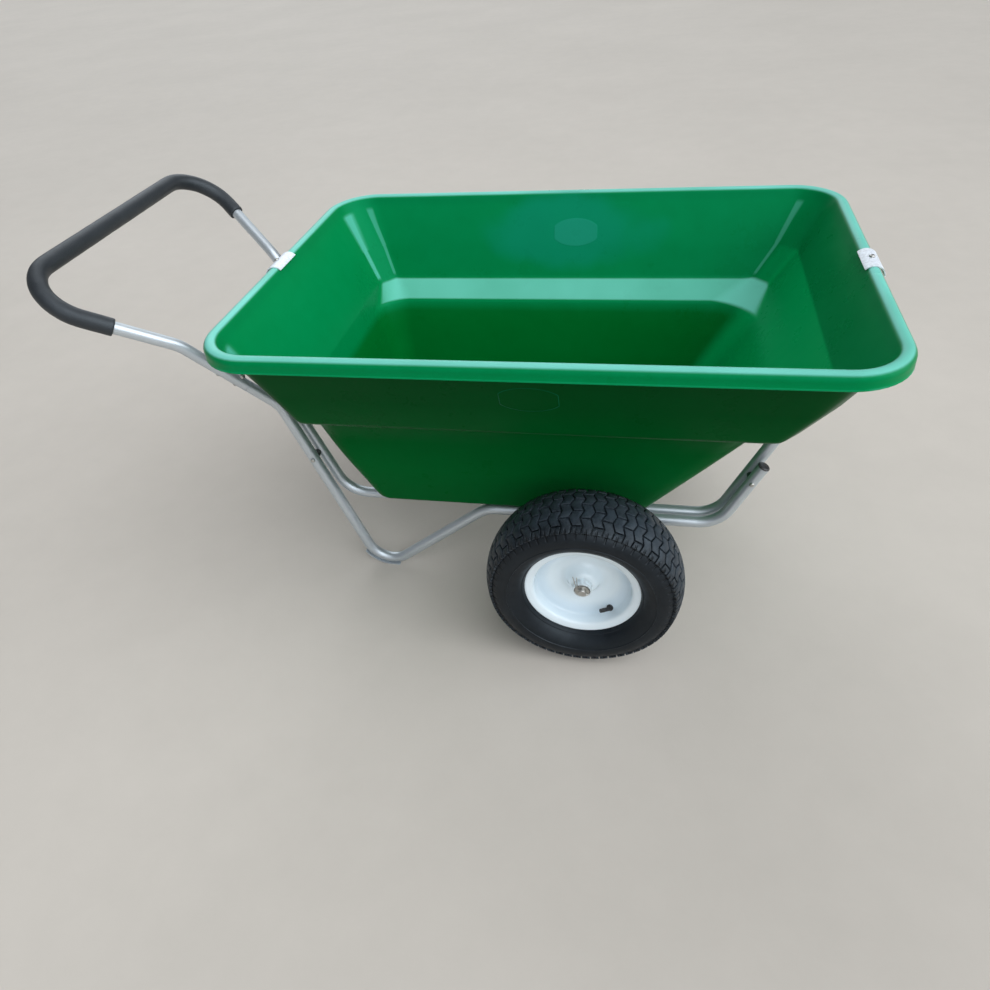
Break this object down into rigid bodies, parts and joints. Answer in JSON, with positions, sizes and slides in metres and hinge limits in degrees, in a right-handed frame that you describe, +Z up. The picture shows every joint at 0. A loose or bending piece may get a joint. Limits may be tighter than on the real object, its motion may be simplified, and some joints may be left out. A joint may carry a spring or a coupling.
{
  "type": "garden cart",
  "caption": "Garden cart with a moulded tub on a bent tube frame, a looped push handle with a foam grip and pneumatic wheels on an axle.",
  "frame": {"origin": "on the ground, half way along the cart from the push bar to the front of the tub, in the middle plane", "axes": "+X to the front of the tub, away from the handle; +Y to the cart's left; +Z up"},
  "size_m": [1.5791, 0.8594, 0.8409],
  "materials": {
    "tub_plastic": "moulded polyethylene, dark green, satin",
    "frame_paint": "silver-grey enamel on steel tube",
    "foam": "charcoal foam sleeve",
    "black_plastic": "black plastic",
    "zinc_steel": "bright zinc plate",
    "tyre_rubber": "black rubber with turf tread",
    "rim_paint": "white enamel",
    "bearing_steel": "sintered bronze-grey bushing",
    "valve_rubber": "black rubber"
  },
  "bodies": {
    "frame": {"tub": "tub_plastic", "leg_tube_left": "frame_paint", "leg_tube_right": "frame_paint", "front_frame_hoop": "frame_paint", "rear_frame_hoop": "frame_paint", "handle_tube": "frame_paint", "skid_plate_left": "frame_paint", "skid_plate_right": "frame_paint", "foam_grip": "foam", "tube_cap_left": "black_plastic", "tube_cap_right": "black_plastic", "tube_spacers": "black_plastic", "front_rim_clip": "zinc_steel", "rear_rim_clip": "zinc_steel", "rim_clip_bolts": "zinc_steel", "rim_clip_nuts": "zinc_steel", "handle_joint_bolts": "zinc_steel", "handle_joint_nuts": "zinc_steel", "tube_pair_bolts": "zinc_steel", "tube_pair_nuts": "zinc_steel", "axle": "zinc_steel", "axle_spacer_left": "zinc_steel", "axle_spacer_right": "zinc_steel", "outer_washer_left": "zinc_steel", "outer_washer_right": "zinc_steel", "inner_washer_left": "zinc_steel", "inner_washer_right": "zinc_steel", "split_pin_left": "zinc_steel", "split_pin_right": "zinc_steel"},
    "wheel_left": {"valve_cap_left": "black_plastic", "tyre_left": "tyre_rubber", "rim_outer_half_left": "rim_paint", "rim_inner_half_left": "rim_paint", "hub_tube_left": "rim_paint", "outer_bearing_left": "bearing_steel", "inner_bearing_left": "bearing_steel", "valve_stem_left": "valve_rubber"},
    "wheel_right": {"valve_cap_right": "black_plastic", "tyre_right": "tyre_rubber", "rim_outer_half_right": "rim_paint", "rim_inner_half_right": "rim_paint", "hub_tube_right": "rim_paint", "outer_bearing_right": "bearing_steel", "inner_bearing_right": "bearing_steel", "valve_stem_right": "valve_rubber"}
  },
  "joints": [
    {"name": "left_wheel_spin", "type": "hinge", "parent": "frame", "child": "wheel_left", "pos_m": [0.2746, 0.359, 0.2032], "axis": [0, 1, 0], "continuous": true},
    {"name": "right_wheel_spin", "type": "hinge", "parent": "frame", "child": "wheel_right", "pos_m": [0.2746, -0.359, 0.2032], "axis": [0, 1, 0], "continuous": true}
  ]
}
